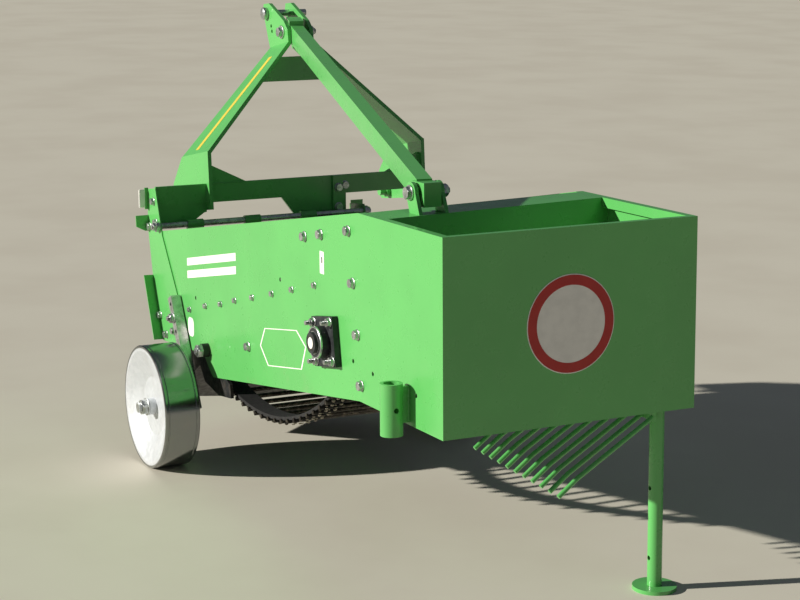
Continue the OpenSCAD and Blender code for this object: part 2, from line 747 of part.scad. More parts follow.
// Strip bolted inside each side plate, so that nothing slips past the rods' ends
module guide_strips() {
    a = strip_ends[0];
    b = strip_ends[1];
    l = norm(b - a);
    color(dark) parked() for (s = [0, 1]) mirror([s, 0, 0])
        translate([inner_x - 6, a[0], a[1]]) rotate([-atan2(b[1] - a[1], a[0] - b[0]), 0, 0])
            translate([0, -l, -14]) cube([6, l, 40]);
}

module front_rollers() {
    color(zinc) parked() {
        x_bar(-half_w - 22, half_w + 22, front_y, front_z, front_shaft_d / 2);
        for (x = [-belt_x, 0, belt_x])
            x_bar(x - 24, x + 24, front_y, front_z, front_wrap_r - belt_t / 2 - 0.3);
        for (x = [-half_w - 18, half_w]) x_bar(x, x + 18, front_y, front_z, 17);
    }
}

module share() {
    color(zinc) parked() translate([0, share_y, share_z]) rotate([-share_slope, 0, 0])
        translate([0, 0, -share_t]) linear_extrude(share_t) polygon([[-inner_x + 2, 0], [inner_x - 2, 0],
            [inner_x - 2, share_side_l], [0, share_l], [-inner_x + 2, share_side_l]]);
}

module share_bracket(x0) {
    down = [cos(share_slope), -sin(share_slope)];
    rear = [share_y, share_z];
    hub = [front_y, front_z];
    difference() {
        yz_plate(x0, share_t) polygon([hub + [-128, -63], hub + [-39, -30], hub + [-25, 2], hub + [7, 37],
            rear + [75, 83], rear + [175, 26], rear + share_side_l * down, rear,
            rear - share_t * [sin(share_slope), cos(share_slope)], hub + [41, -88], hub + [-51, -105],
            hub + [-133, -96]]);
        x_bar(x0 - 1, x0 + share_t + 1, front_y, front_z, front_shaft_d / 2 + 0.5);
    }
}

module share_brackets() {
    color(green) parked() {
        share_bracket(-inner_x + 2);
        share_bracket(inner_x - 2 - share_t);
    }
}

// Square arm with its spindle, drawn for the left side
module wheel_arm() {
    l = norm([arm_top_y - axle_y, arm_top_z - axle_z]);
    translate([-arm_x, axle_y, axle_z]) rotate([-arm_lean, 0, 0]) difference() {
        translate([-arm_side / 2, -arm_side / 2, -22]) cube([arm_side, arm_side, l + 22]);
        for (z = [l - 19, l - 56, l - 92]) translate([0, 0, z]) rotate([0, 90, 0])
            cylinder(h = arm_side + 2, r = 5, center = true);
    }
    x_bar(-nut_x, -arm_x, axle_y, axle_z, axle_r);
    translate([-wheel_out_x - 9, axle_y, axle_z]) rotate([0, 90, 0]) cylinder(h = 15, r = 17, $fn = 6);
    x_bar(-wheel_in_x + 4, -arm_x, axle_y, axle_z, 17);
}

module wheel_arm_left() {
    color(zinc) parked() wheel_arm();
}

module wheel_arm_right() {
    color(zinc) parked() mirror([1, 0, 0]) wheel_arm();
}

// Profile of the drum wheel: radius outward, height from the inner rim to the outer face
module wheel_profile() {
    bore = axle_r + axle_clear;
    top = wheel_w;
    difference() {
        union() {
            polygon([[wheel_r - 8, top], [wheel_r - 2, top], [wheel_r, top - 2], [wheel_r, 2],
                [wheel_r - 2, 0], [wheel_r - 8, 0], [wheel_r - 8, 3], [wheel_r - wheel_t, 4],
                [wheel_r - wheel_t, top - 10], [wheel_r - 16, top - wheel_t],
                [flat_r - 1, top - dish_depth - wheel_t], [hub_r, top - dish_depth - wheel_t],
                [hub_r, 4], [bore, 4], [bore, top - 6.5], [hub_r, top - 6.5],
                [hub_r, top - dish_depth], [flat_r, top - dish_depth],
                [wheel_r - 14, top]]);
        }
        translate([wheel_r + 0.6, top - 9]) circle(r = 1.8, $fn = 16);
        translate([wheel_r + 0.6, 9]) circle(r = 1.8, $fn = 16);
    }
}

// Wheel with its outer face towards -X
module wheel() {
    translate([-origin_x, -origin_y, wheel_r]) translate([-wheel_in_x, 0, 0]) rotate([0, -90, 0])
        rotate_extrude($fn = 96) wheel_profile();
}

module wheel_left() {
    color(zinc) wheel();
}

module wheel_right() {
    color(zinc) translate([-origin_x, -origin_y, wheel_r]) translate([wheel_in_x, 0, 0])
        rotate([0, 90, 0]) rotate_extrude($fn = 96) wheel_profile();
}

module side_socket() {
    z1 = 450;
    color(green) parked() difference() {
        union() {
            translate([socket_x, socket_y, z1 - socket_l]) cylinder(h = socket_l, r = socket_r);
            translate([socket_x + 8, socket_y - 8, 368])
                cube([-half_w - socket_x - 8, 8, z1 - 376]);
        }
        translate([socket_x, socket_y, z1 - socket_l - 1])
            cylinder(h = socket_l + 2, r = stand_r + 0.5);
        y_bar(socket_y - 60, socket_y, socket_x, z1 - 52, 5.5);
    }
}

module stand_socket() {
    z0 = 385;
    z1 = 490;
    color(green) parked() difference() {
        union() {
            translate([stand_x, stand_y, z0]) cylinder(h = z1 - z0, r = 21);
            translate([stand_x - 4, sheet_t, z0]) cube([8, stand_y - sheet_t - 18, z1 - z0]);
        }
        translate([stand_x, stand_y, z0 - 1]) cylinder(h = z1 - z0 + 2, r = stand_r + stand_clear);
    }
}

module stand_leg() {
    wall = 3;
    color(green) {
        parked() difference() {
            translate([stand_x, stand_y, foot_z + 3]) cylinder(h = stand_top - foot_z - 3, r = stand_r);
            translate([stand_x, stand_y, foot_z + 14])
                cylinder(h = stand_top - foot_z, r = stand_r - wall);
            for (z = [foot_z + 68, foot_z + 218]) x_bar(stand_x - 20, stand_x + 20, stand_y, z, 5);
        }
        translate([stand_x - origin_x, stand_ground_y - origin_y, 0]) cylinder(h = foot_t, r = foot_r);
    }
}

// One tine: a straight run down from the bar, a bend and a steeper tip
module tine(y, dz) {
    r = tine_d / 2;
    a = [tine_bar_x + 4, 350];
    b = [tine_bar_x - tine_bend_in, tine_bend_z];
    c = [tine_bar_x - tine_tip_in, tine_tip_z];
    d1 = (b - a) / norm(b - a);
    d2 = (c - b) / norm(c - b);
    turn = atan2(d1[0] * d2[1] - d1[1] * d2[0], d1 * d2);
    side = sign(turn);
    normal = side * [-d1[1], d1[0]];
    trim = tine_bend_r * tan(abs(turn) / 2);
    centre = b - d1 * trim + normal * tine_bend_r;
    start = atan2(-normal[1], -normal[0]);
    lap = 1;
    translate([0, y, dz]) {
        rod_xz(a, b - d1 * trim, r);
        rod_xz(b + d2 * trim, c, r);
        translate([centre[0], 0, centre[1]]) rotate([90, 0, 0])
            rotate([0, 0, side > 0 ? start - lap : start + turn - lap])
                rotate_extrude(angle = abs(turn) + 2 * lap)
                    translate([tine_bend_r, 0]) circle(r = r + 0.1, $fn = 24);
    }
}

// Round rod in the X-Z plane
module rod_xz(p, q, r) {
    translate([p[0], 0, p[1]]) rotate([0, atan2(q[0] - p[0], q[1] - p[1]), 0])
        cylinder(h = norm(q - p), r = r, $fn = 24);
}

module tine_grate() {
    bar_l = (tine_count - 1) * tine_pitch + 26;
    rise = atan(tine_rise / tine_pitch);
    color(green) parked() {
        for (i = [0 : tine_count - 1]) tine(tine_y + i * tine_pitch, i * tine_rise);
        translate([tine_bar_x, panel_lip + 2, 340]) rotate([rise, 0, 0]) cube([8, bar_l - 9, 34]);
        translate([tine_bar_x, sheet_t + bar_l - 8, 366]) cube([inner_x - tine_bar_x - 0.3, 8, 26]);
    }
}

side_plate_left();
side_plate_right();
nose_plate_left();
nose_plate_right();
rear_panel();
box_member();
strut_bracket();
back_strut();
hitch_beam();
mast_leg_left();
mast_leg_right();
mast_gussets();
mast_tie();
top_link_pin();
lower_pin_left();
lower_pin_right();
cross_rod();
rod_sleeves();
gearbox_plate();
gearbox();
pto_shaft();
pto_guard();
cross_shaft();
chain_case();
head_shaft();
head_bearing();
web();
guide_strips();
front_rollers();
share();
share_brackets();
wheel_arm_left();
wheel_arm_right();
wheel_left();
wheel_right();
side_socket();
stand_socket();
stand_leg();
tine_grate();
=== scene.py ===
"""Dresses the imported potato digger: paint, bare metal, fasteners, welds, signs, and the studio."""
import json
import math

import bmesh
import bpy
from mathutils import Matrix, Vector


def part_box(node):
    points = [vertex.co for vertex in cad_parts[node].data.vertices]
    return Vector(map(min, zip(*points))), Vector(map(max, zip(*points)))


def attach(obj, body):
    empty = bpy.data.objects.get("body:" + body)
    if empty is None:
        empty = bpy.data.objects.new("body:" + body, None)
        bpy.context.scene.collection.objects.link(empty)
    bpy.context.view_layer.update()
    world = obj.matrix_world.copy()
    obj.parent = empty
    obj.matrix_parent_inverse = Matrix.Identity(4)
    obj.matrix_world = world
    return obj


bl_info = {
    "name": "Potato digger looks",
    "version": (1, 0, 0),
    "blender": (4, 5, 0),
    "location": "View3D > Sidebar > Digger",
    "description": "Builds the finishes, fasteners, signs and studio of the potato digger",
    "category": "Object",
}

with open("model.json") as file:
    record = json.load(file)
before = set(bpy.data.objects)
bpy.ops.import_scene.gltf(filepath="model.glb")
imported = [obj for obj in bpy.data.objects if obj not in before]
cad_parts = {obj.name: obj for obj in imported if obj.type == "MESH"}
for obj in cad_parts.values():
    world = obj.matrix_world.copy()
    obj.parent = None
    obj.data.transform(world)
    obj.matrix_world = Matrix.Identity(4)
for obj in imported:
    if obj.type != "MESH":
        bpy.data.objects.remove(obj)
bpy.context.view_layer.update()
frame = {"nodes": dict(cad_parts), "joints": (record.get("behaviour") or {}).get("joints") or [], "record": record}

# Machine axes: millimetres, X right, Y forward from the rear panel, Z up, before the parked lean
AXLE_Y = 1316.0
AXLE_Z = 166.0
WHEEL_MID_X = 391.0
WHEEL_OUT_X = 435.0
SPINDLE_END_X = 454.0
HALF_W = 290.0
SHEET = 3.0
HITCH_X = 168.0
LEG_T = 10.0
MAST_HALF = 317.0
TONGUE_X = 27.5
BEARING = (524.0, 463.0)
BEARING_TURN = -9.0
ARM_X = 305.5
SLOPE_DEG = 44.36
BEND = (1587.0, 758.0)
BEND_TILT_DEG = 10.0
BOX_TOP = 758.0
BELT_X = 245.0
# Middles of shafts and pins across the machine: distance from the rear panel, height
NOSE_ROD = (1574.0, 574.0)
FRONT_SHAFT = (1249.0, 308.0)
STRUT_PIN = (1735.0, 1053.0)
TOP_PIN = (1838.0, 1099.0)
STRUT_EYE = (322.0, 800.0)
# How far the bearing, the wheel arms' bolts, the front shaft and the nose rod stand out of their plates
FLANGE_OUT = 14.0
BOSS_OUT = 35.0
SHAFT_OUT = 44.0
ARM_BOSS = 12.5
PIVOT_OUT = 18.0
ROD_OUT = 10.0


def machine_matrix():
    """The matrix from machine axes in millimetres to the row frame in metres, read from the joints."""
    joints = {j["name"]: j for j in frame["joints"]}
    up = Vector(joints["stand_slide"]["axis"]).normalized()
    right = Vector((1.0, 0.0, 0.0))
    forward = up.cross(right).normalized()
    turn = Matrix((right, forward, up)).transposed().to_4x4()
    left_hub = Vector(joints["wheel_left_spin"]["pos_m"])
    shift = left_hub - (turn @ Vector((-WHEEL_MID_X, AXLE_Y, AXLE_Z))) * 0.001
    return Matrix.Translation(shift) @ turn @ Matrix.Scale(0.001, 4)


MACHINE = machine_matrix()


# Colours and shader helpers

def linear(code):
    """Turns an sRGB hex colour into linear RGBA."""
    parts = [int(code[i:i + 2], 16) / 255 for i in (1, 3, 5)]
    return tuple(c / 12.92 if c <= 0.04045 else ((c + 0.055) / 1.055) ** 2.4 for c in parts) + (1.0,)


def add_node(tree, kind, inputs=None, **settings):
    """Adds one shader node with its settings, and sets or links its inputs by name or index."""
    made = tree.nodes.new("ShaderNode" + kind)
    for key, value in settings.items():
        setattr(made, key, value)
    for key, value in (inputs or {}).items():
        if isinstance(value, bpy.types.NodeSocket):
            tree.links.new(value, made.inputs[key])
        else:
            made.inputs[key].default_value = value
    return made


def noise(tree, size_mm, detail=3.0, rough=0.55, stretch=(1.0, 1.0, 1.0)):
    """Noise with features of about size_mm on the object, as a value from 0 to 1."""
    place = add_node(tree, "TexCoord")
    mapped = add_node(tree, "Mapping", {"Vector": place.outputs["Object"], "Scale": stretch})
    return add_node(tree, "TexNoise", {"Vector": mapped.outputs["Vector"], "Scale": 1000.0 / size_mm,
                                       "Detail": detail, "Roughness": rough}).outputs["Fac"]


def band(tree, value, low, high, to_low=0.0, to_high=1.0):
    """Maps a value between low and high, smoothly, to another span."""
    return add_node(tree, "MapRange", {"Value": value, "From Min": low, "From Max": high,
                                       "To Min": to_low, "To Max": to_high},
                    interpolation_type="SMOOTHSTEP").outputs["Result"]


def mix_colour(tree, share, first, second):
    """Mixes two colours by a share from 0 to 1."""
    return add_node(tree, "Mix", {0: share, 6: first, 7: second}, data_type="RGBA").outputs[2]


def multiply(tree, first, second):
    """Product of two values."""
    return add_node(tree, "Math", {0: first, 1: second}, operation="MULTIPLY").outputs[0]


def row_height(tree):
    """Height over the ground in metres."""
    place = add_node(tree, "TexCoord")
    return add_node(tree, "SeparateXYZ", {0: place.outputs["Object"]}).outputs["Z"]


def bump(tree, height, strength, distance_mm):
    """Normal from a height pattern."""
    return add_node(tree, "Bump", {"Height": height, "Strength": strength,
                                   "Distance": distance_mm / 1000.0}).outputs["Normal"]


def new_material(name):
    """An empty material with its output and shader, and the shader's own node."""
    made = bpy.data.materials.new(name)
    made.use_nodes = True
    tree = made.node_tree
    tree.nodes.clear()
    shader = add_node(tree, "BsdfPrincipled")
    add_node(tree, "OutputMaterial", {"Surface": shader.outputs["BSDF"]})
    return made, tree, shader


def link(tree, shader, **sockets):
    """Links or sets the shader's inputs, with underscores standing for spaces."""
    for key, value in sockets.items():
        socket = shader.inputs[key.replace("_", " ")]
        if isinstance(value, bpy.types.NodeSocket):
            tree.links.new(value, socket)
        else:
            socket.default_value = value


# Materials, each one real material and finish

def green_paint(looks):
    """Powder coat: smooth green with slight orange peel, a little dust low down and in patches."""
    made, tree, shader = new_material("green_powder_coat")
    base = linear(looks.paint)
    paint = mix_colour(tree, band(tree, noise(tree, 260.0), 0.35, 0.65),
                       tuple(c * 0.93 for c in base[:3]) + (1.0,), base)
    dust_patch = multiply(tree, band(tree, noise(tree, 90.0, 6.0, 0.7), 0.52, 0.78),
                          band(tree, row_height(tree), 0.55, 0.12, 0.02, 0.30))
    speck = band(tree, noise(tree, 5.0, 2.0), 0.70, 0.78, 0.0, 0.12)
    dirty = add_node(tree, "Math", {0: dust_patch, 1: speck}, operation="MAXIMUM").outputs[0]
    colour = mix_colour(tree, dirty, paint, linear("#a89a80"))
    rough = band(tree, noise(tree, 40.0, 4.0), 0.3, 0.7, 0.26, 0.36)
    peel = bump(tree, noise(tree, 2.6, 2.0), 0.10, 0.15)
    link(tree, shader, Base_Color=colour, Roughness=rough, Normal=peel,
         Coat_Weight=0.25, Coat_Roughness=0.12)
    return made


def zinc_plate():
    """Bright zinc plating on pins, bolts and the wheel arms, faintly clouded."""
    made, tree, shader = new_material("bright_zinc_plate")
    cloud = band(tree, noise(tree, 14.0, 4.0), 0.35, 0.7)
    colour = mix_colour(tree, cloud, linear("#cfd2d0"), linear("#a9adab"))
    rough = band(tree, noise(tree, 6.0, 3.0), 0.3, 0.7, 0.26, 0.42)
    link(tree, shader, Base_Color=colour, Roughness=rough, Metallic=0.95,
         Normal=bump(tree, noise(tree, 1.2, 2.0), 0.08, 0.1))
    return made


def from_axle(tree):
    """Distance from the wheels' common axle line, in metres."""
    hub = MACHINE @ Vector((0.0, AXLE_Y, AXLE_Z))
    place = add_node(tree, "TexCoord")
    away = add_node(tree, "VectorMath", {0: place.outputs["Object"], 1: hub}, operation="SUBTRACT")
    flat = add_node(tree, "VectorMath", {0: away.outputs["Vector"], 1: (0.0, 1.0, 1.0)},
                    operation="MULTIPLY")
    return add_node(tree, "VectorMath", {0: flat.outputs["Vector"]}, operation="LENGTH").outputs["Value"]


def galvanised():
    """Galvanised drum wheel: pale satin disc with soft spangle, and a tread rolled nearly bright."""
    made, tree, shader = new_material("galvanised_sheet")
    tread = band(tree, from_axle(tree), 0.144, 0.149)
    place = add_node(tree, "TexCoord")
    cells = add_node(tree, "TexVoronoi", {"Vector": place.outputs["Object"], "Scale": 1000.0 / 9.0})
    spangle = add_node(tree, "SeparateColor", {0: cells.outputs["Color"]}).outputs[0]
    grey = mix_colour(tree, spangle, linear("#cfd2d5"), linear("#c6cacd"))
    grey = mix_colour(tree, tread, grey, linear("#8f9292"))
    stain = band(tree, noise(tree, 70.0, 6.0, 0.65), 0.5, 0.75, 0.0, 0.20)
    colour = mix_colour(tree, stain, grey, linear("#a79f92"))
    satin = band(tree, noise(tree, 22.0, 5.0), 0.3, 0.7, 0.36, 0.48)
    rough = multiply(tree, satin, band(tree, tread, 0.0, 1.0, 1.0, 0.42))
    link(tree, shader, Base_Color=colour, Roughness=rough,
         Metallic=band(tree, tread, 0.0, 1.0, 0.45, 1.0),
         Normal=bump(tree, noise(tree, 3.0, 3.0), 0.08, 0.2))
    return made


def web_steel():
    """Rod web: dark mill-scaled rods worn light in patches, on black rubber belts."""
    made, tree, shader = new_material("web_rods_and_belts")
    place = add_node(tree, "TexCoord")
    across = add_node(tree, "SeparateXYZ", {0: place.outputs["Object"]}).outputs["X"]
    mid = MACHINE.to_translation().x
    belts = None
    for offset in (-BELT_X / 1000, 0.0, BELT_X / 1000):
        distance = add_node(tree, "Math", {0: across, 1: mid + offset}, operation="SUBTRACT").outputs[0]
        distance = add_node(tree, "Math", {0: distance}, operation="ABSOLUTE").outputs[0]
        here = add_node(tree, "Math", {0: distance, 1: 0.0228}, operation="LESS_THAN").outputs[0]
        belts = here if belts is None else add_node(tree, "Math", {0: belts, 1: here},
                                                    operation="MAXIMUM").outputs[0]
    scale = band(tree, noise(tree, 12.0, 5.0, 0.7), 0.45, 0.7)
    rods = mix_colour(tree, scale, linear("#2b2723"), linear("#6f675c"))
    colour = mix_colour(tree, belts, rods, linear("#171615"))
    metal = add_node(tree, "Math", {0: 0.8, 1: multiply(tree, belts, 0.8)},
                     operation="SUBTRACT").outputs[0]
    rough = add_node(tree, "Math", {0: band(tree, noise(tree, 9.0, 4.0), 0.3, 0.7, 0.38, 0.6),
                                    1: multiply(tree, belts, 0.3)}, operation="ADD").outputs[0]
    link(tree, shader, Base_Color=colour, Roughness=rough, Metallic=metal,
         Normal=bump(tree, noise(tree, 3.0, 4.0), 0.3, 0.4))
    return made


def black_steel():
    """Black painted steel of the shafts and drums, dulled by soil."""
    made, tree, shader = new_material("black_painted_steel")
    dull = band(tree, noise(tree, 30.0, 5.0, 0.65), 0.45, 0.75)
    colour = mix_colour(tree, dull, linear("#1b1c1d"), linear("#4a443c"))
    rough = band(tree, noise(tree, 12.0, 3.0), 0.3, 0.7, 0.40, 0.62)
    link(tree, shader, Base_Color=colour, Roughness=rough, Metallic=0.2,
         Normal=bump(tree, noise(tree, 4.0, 3.0), 0.15, 0.3))
    return made


def cast_iron():
    """Dark painted cast iron with a coarse skin."""
    made, tree, shader = new_material("painted_cast_iron")
    tone = band(tree, noise(tree, 18.0, 4.0), 0.4, 0.7)
    colour = mix_colour(tree, tone, linear("#26292b"), linear("#3a3d3e"))
    rough = band(tree, noise(tree, 8.0, 3.0), 0.3, 0.7, 0.38, 0.55)
    link(tree, shader, Base_Color=colour, Roughness=rough, Metallic=0.35,
         Normal=bump(tree, noise(tree, 1.6, 4.0, 0.7), 0.35, 0.35))
    return made


def wear_steel():
    """Input shaft: bare hardened steel, streaked along its length."""
    made, tree, shader = new_material("bare_wear_steel")
    streak = band(tree, noise(tree, 60.0, 6.0, 0.7, (1.0, 0.12, 0.12)), 0.4, 0.65)
    colour = mix_colour(tree, streak, linear("#8e8d8a"), linear("#57524b"))
    rough = band(tree, noise(tree, 20.0, 4.0, 0.6, (1.0, 0.1, 0.1)), 0.3, 0.7, 0.28, 0.5)
    link(tree, shader, Base_Color=colour, Roughness=rough, Metallic=0.85,
         Normal=bump(tree, noise(tree, 2.0, 3.0), 0.15, 0.2))
    return made


def black_plastic():
    """Moulded black guard with a fine grain."""
    made, tree, shader = new_material("moulded_black_plastic")
    colour = mix_colour(tree, band(tree, noise(tree, 25.0), 0.4, 0.7), linear("#141414"),
                        linear("#232322"))
    rough = band(tree, noise(tree, 10.0), 0.3, 0.7, 0.42, 0.56)
    link(tree, shader, Base_Color=colour, Roughness=rough,
         Normal=bump(tree, noise(tree, 0.9, 2.0), 0.2, 0.12))
    return made


def vinyl(name, code, rough=0.35):
    """Printed vinyl or paint marker of one colour, faintly mottled."""
    made, tree, shader = new_material(name)
    base = linear(code)
    faded = tuple(c * 0.9 for c in base[:3]) + (1.0,)
    colour = mix_colour(tree, band(tree, noise(tree, 30.0, 4.0), 0.35, 0.7), base, faded)
    link(tree, shader, Base_Color=colour, Roughness=band(tree, noise(tree, 8.0), 0.3, 0.7,
                                                         rough, rough + 0.12),
         Normal=bump(tree, noise(tree, 1.5, 2.0), 0.05, 0.08))
    return made


# Which CAD node gets which finish: the record's slot decides

def finish_for_slots(looks):
    """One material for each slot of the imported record."""
    return {
        "green_paint": green_paint(looks),
        "zinc_plate": zinc_plate(),
        "black_steel": black_steel(),
        "black_plastic": black_plastic(),
        "web_steel": web_steel(),
        "wear_steel": wear_steel(),
        "galvanised": galvanised(),
        "cast_iron": cast_iron(),
    }


def material(name):
    """A material that dress_frame or a later step has made."""
    return bpy.data.materials[name]


# Mesh helpers: pieces are drawn in machine millimetres and placed by one matrix

def cross_axes(axis):
    """The axis as a unit vector, and two directions square to it."""
    axis = Vector(axis).normalized()
    helper = Vector((0.0, 0.0, 1.0)) if abs(axis.z) < 0.9 else Vector((0.0, 1.0, 0.0))
    u = axis.cross(helper).normalized()
    return axis, u, axis.cross(u)


class Sketch:
    """One mesh that many small shapes are drawn into, in machine axes."""

    def __init__(self):
        self.bm = bmesh.new()

    def rings(self, rings, closed_start=True, closed_end=True):
        """Skins a row of rings with the same number of points."""
        rows = [[self.bm.verts.new(p) for p in ring] for ring in rings]
        count = len(rows[0])
        for a, b in zip(rows, rows[1:]):
            for i in range(count):
                j = (i + 1) % count
                self.bm.faces.new((a[i], a[j], b[j], b[i]))
        if closed_start:
            self.bm.faces.new(list(reversed(rows[0])))
        if closed_end:
            self.bm.faces.new(rows[-1])

    def turned(self, centre, axis, profile, sides=24):
        """Revolves (radius, distance along the axis) pairs about an axis through centre."""
        axis, u, v = cross_axes(axis)
        rings = []
        for radius, along in profile:
            ring = []
            for k in range(sides):
                a = 2 * math.pi * k / sides
                ring.append(Vector(centre) + axis * along + (u * math.cos(a) + v * math.sin(a)) * radius)
            rings.append(ring)
        self.rings(rings)

    def hexagon(self, centre, axis, across, height, spin=0.0):
        """A hexagon head or nut with its corners chamfered round the top."""
        corner = across / math.sqrt(3.0)
        axis, u, v = cross_axes(axis)
        per_side = 4
        rings = [[], [], [], []]
        for k in range(6 * per_side):
            a = 2 * math.pi * k / (6 * per_side)
            to_flat = (a % (math.pi / 3)) - math.pi / 6
            reach = across / 2 / math.cos(to_flat)
            drop = max(0.0, reach - across / 2 * 1.01) * 0.58
            way = u * math.cos(a + spin) + v * math.sin(a + spin)
            base = Vector(centre)
            rings[0].append(base + way * reach)
            rings[1].append(base + way * reach + axis * (height - drop - 0.02 * corner))
            rings[2].append(base + way * min(reach, across / 2) + axis * height)
            rings[3].append(base + way * across * 0.36 + axis * height)
        self.rings(rings)

    def bolt(self, centre, axis, across, stud=0.0, spin=0.0):
        """A hexagon head on its washer; stud is how far a thread end stands out of it."""
        axis = Vector(axis).normalized()
        start = Vector(centre)
        thick = 0.13 * across
        self.turned(start, axis, [(across * 0.60, 0.0), (across * 0.66, thick * 0.25),
                                  (across * 0.66, thick * 0.8), (across * 0.62, thick)])
        start = start + axis * thick
        height = across * 0.42
        self.hexagon(start, axis, across, height, spin)
        if stud:
            self.thread(start + axis * height, axis, across * 0.31, stud)

    def thread(self, centre, axis, radius, length):
        """A short threaded end: shallow grooves and a chamfered tip."""
        pitch = max(1.25, radius * 0.24)
        profile = [(radius, -0.5)]
        along = 0.0
        while along < length - 1.2 * pitch:
            profile += [(radius, along + 0.35 * pitch), (radius * 0.86, along + 0.8 * pitch)]
            along += pitch
        profile += [(radius, length - pitch), (radius * 0.8, length)]
        self.turned(centre, axis, profile, sides=16)

    def box(self, low, high, bevel=0.0):
        """A box between two corners, with its edges eased by bevel."""
        corners = [Vector((x, y, z)) for x in (low[0], high[0]) for y in (low[1], high[1])
                   for z in (low[2], high[2])]
        verts = [self.bm.verts.new(c) for c in corners]
        quads = ((0, 1, 3, 2), (4, 6, 7, 5), (0, 4, 5, 1), (2, 3, 7, 6), (0, 2, 6, 4), (1, 5, 7, 3))
        faces = [self.bm.faces.new([verts[i] for i in q]) for q in quads]
        if bevel:
            edges = list({e for f in faces for e in f.edges})
            bmesh.ops.bevel(self.bm, geom=edges, offset=bevel, segments=2, affect="EDGES")

    def bead(self, points, radius, ripple=3.0):
        """A weld bead along a path of points: a low ripple-marked ridge."""
        pts = [Vector(p) for p in points]
        rings = []
        for a, b in zip(pts, pts[1:]):
            steps = max(3, int((b - a).length / ripple * 2))
            _, u, v = cross_axes(b - a)
            for k in range(steps + 1):
                size = radius * (1.0 if k % 2 else 0.78)
                if k in (0, steps):
                    size = radius * 0.45
                at = a + (b - a) * (k / steps)
                rings.append([at + (u * math.cos(t) + v * math.sin(t)) * size
                              for t in [2 * math.pi * n / 8 for n in range(8)]])
        self.rings(rings)

    def strip(self, outline, axis, thickness):
        """A thin flat plate: an outline of points pushed along an axis."""
        push = Vector(axis).normalized() * thickness
        self.rings([[Vector(p) for p in outline], [Vector(p) + push for p in outline]])

    def piece(self, name, body, finish):
        """Turns the sketch into one object that rides on a body."""
        bmesh.ops.recalc_face_normals(self.bm, faces=self.bm.faces)
        mesh = bpy.data.meshes.new(name)
        self.bm.to_mesh(mesh)
        self.bm.free()
        mesh.transform(MACHINE)
        made = bpy.data.objects.new(name, mesh)
        bpy.context.scene.collection.objects.link(made)
        made.data.materials.append(finish)
        made.data.shade_smooth()
        made.data.set_sharp_from_angle(angle=math.radians(SHARP_OVER_DEG))
        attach(made, body)
        return made


LEFT = Vector((-1.0, 0.0, 0.0))
RIGHT = Vector((1.0, 0.0, 0.0))
BACK = Vector((0.0, -1.0, 0.0))
SHARP_OVER_DEG = 35.0


# Fasteners: distance from the rear panel, height

PLATE_BOLTS = [(646, 673), (560, 689), (421, 715), (401, 608), (381, 502), (364, 397), (983, 366)]
STRIP_BOLTS = [(1368, 390), (1258, 417), (1155, 439), (1062, 463), (952, 488), (834, 516), (719, 544),
               (596, 573)]
NOSE_BOLTS = [(1610, 635), (1641, 566), (1593, 582), (1580, 340), (1539, 296), (1483, 315)]
LOWER_NOSE_TOP = 575
ARM_BOLT = (1416.5, 362)
# Bolts of the gearbox plate: x, distance from the rear panel, height
GEARBOX_BOLTS = [(227, 1592, 641), (227, 1592, 588), (249, 1600, 645)]
# Rise of the plain bars on the left plate, and the corners of the empty outline beside them
BAR_RISE = 0.183
BADGE = [(883, 428), (697, 456), (646, 427), (672, 371), (866, 342), (912, 382)]
CASE_FRONT = (1400.0, 528.0, 66.0)
CASE_REAR = (524.0, 463.0, 88.0)


def under_case(y, z, margin):
    """True where the chain case on the right covers this place of the side plate."""
    a = Vector(CASE_REAR[:2])
    b = Vector(CASE_FRONT[:2])
    p = Vector((y, z))
    share = max(0.0, min(1.0, (p - a).dot(b - a) / (b - a).length_squared))
    radius = CASE_REAR[2] + (CASE_FRONT[2] - CASE_REAR[2]) * share
    return (p - a.lerp(b, share)).length < radius + margin


def body_bolts(looks):
    """Hexagon bolts through both side plates, with their nuts inside."""
    heads = Sketch()
    for side, way in ((-1, LEFT), (1, RIGHT)):
        outer = side * HALF_W
        inner = side * (HALF_W - SHEET)
        rows = [(looks.plate_bolt, PLATE_BOLTS), (looks.strip_bolt, STRIP_BOLTS)]
        for across, places in rows:
            for n, (y, z) in enumerate(places):
                if side < 0 or not under_case(y, z, across):
                    heads.bolt((outer, y, z), way, across, spin=0.4 * n)
                heads.bolt((inner, y, z), -way, across, stud=across * 0.25, spin=0.9 * n)
    heads.piece("plate_bolts", "frame", material("bright_zinc_plate"))


def nose_bolts(looks):
    """Bolts of the nose plates, of the wheel arms and of the pivot shaft ends."""
    made = Sketch()
    for side, way in ((-1, LEFT), (1, RIGHT)):
        skin = side * (HALF_W + SHEET)
        for n, (y, z) in enumerate(NOSE_BOLTS):
            if side < 0 or z < LOWER_NOSE_TOP:
                made.bolt((skin, y, z), way, looks.nose_bolt, spin=0.5 * n)
        made.bolt((side * (ARM_X + ARM_BOSS), *ARM_BOLT), way, 21.0, stud=6.0, spin=0.7)
        rod_end = HALF_W + SHEET + ROD_OUT
        made.hexagon((side * rod_end, *NOSE_ROD), way, 19.0, 8.0, 0.3)
        made.thread((side * (rod_end + 8.0), *NOSE_ROD), way, 5.5, 3.0)
        made.hexagon((side * (HALF_W + PIVOT_OUT), *FRONT_SHAFT), way, 30.0, 12.0, 0.2)
        made.thread((side * (HALF_W + PIVOT_OUT + 12.0), *FRONT_SHAFT), way, 9.5, 5.0)
    made.piece("nose_and_arm_bolts", "frame", material("bright_zinc_plate"))


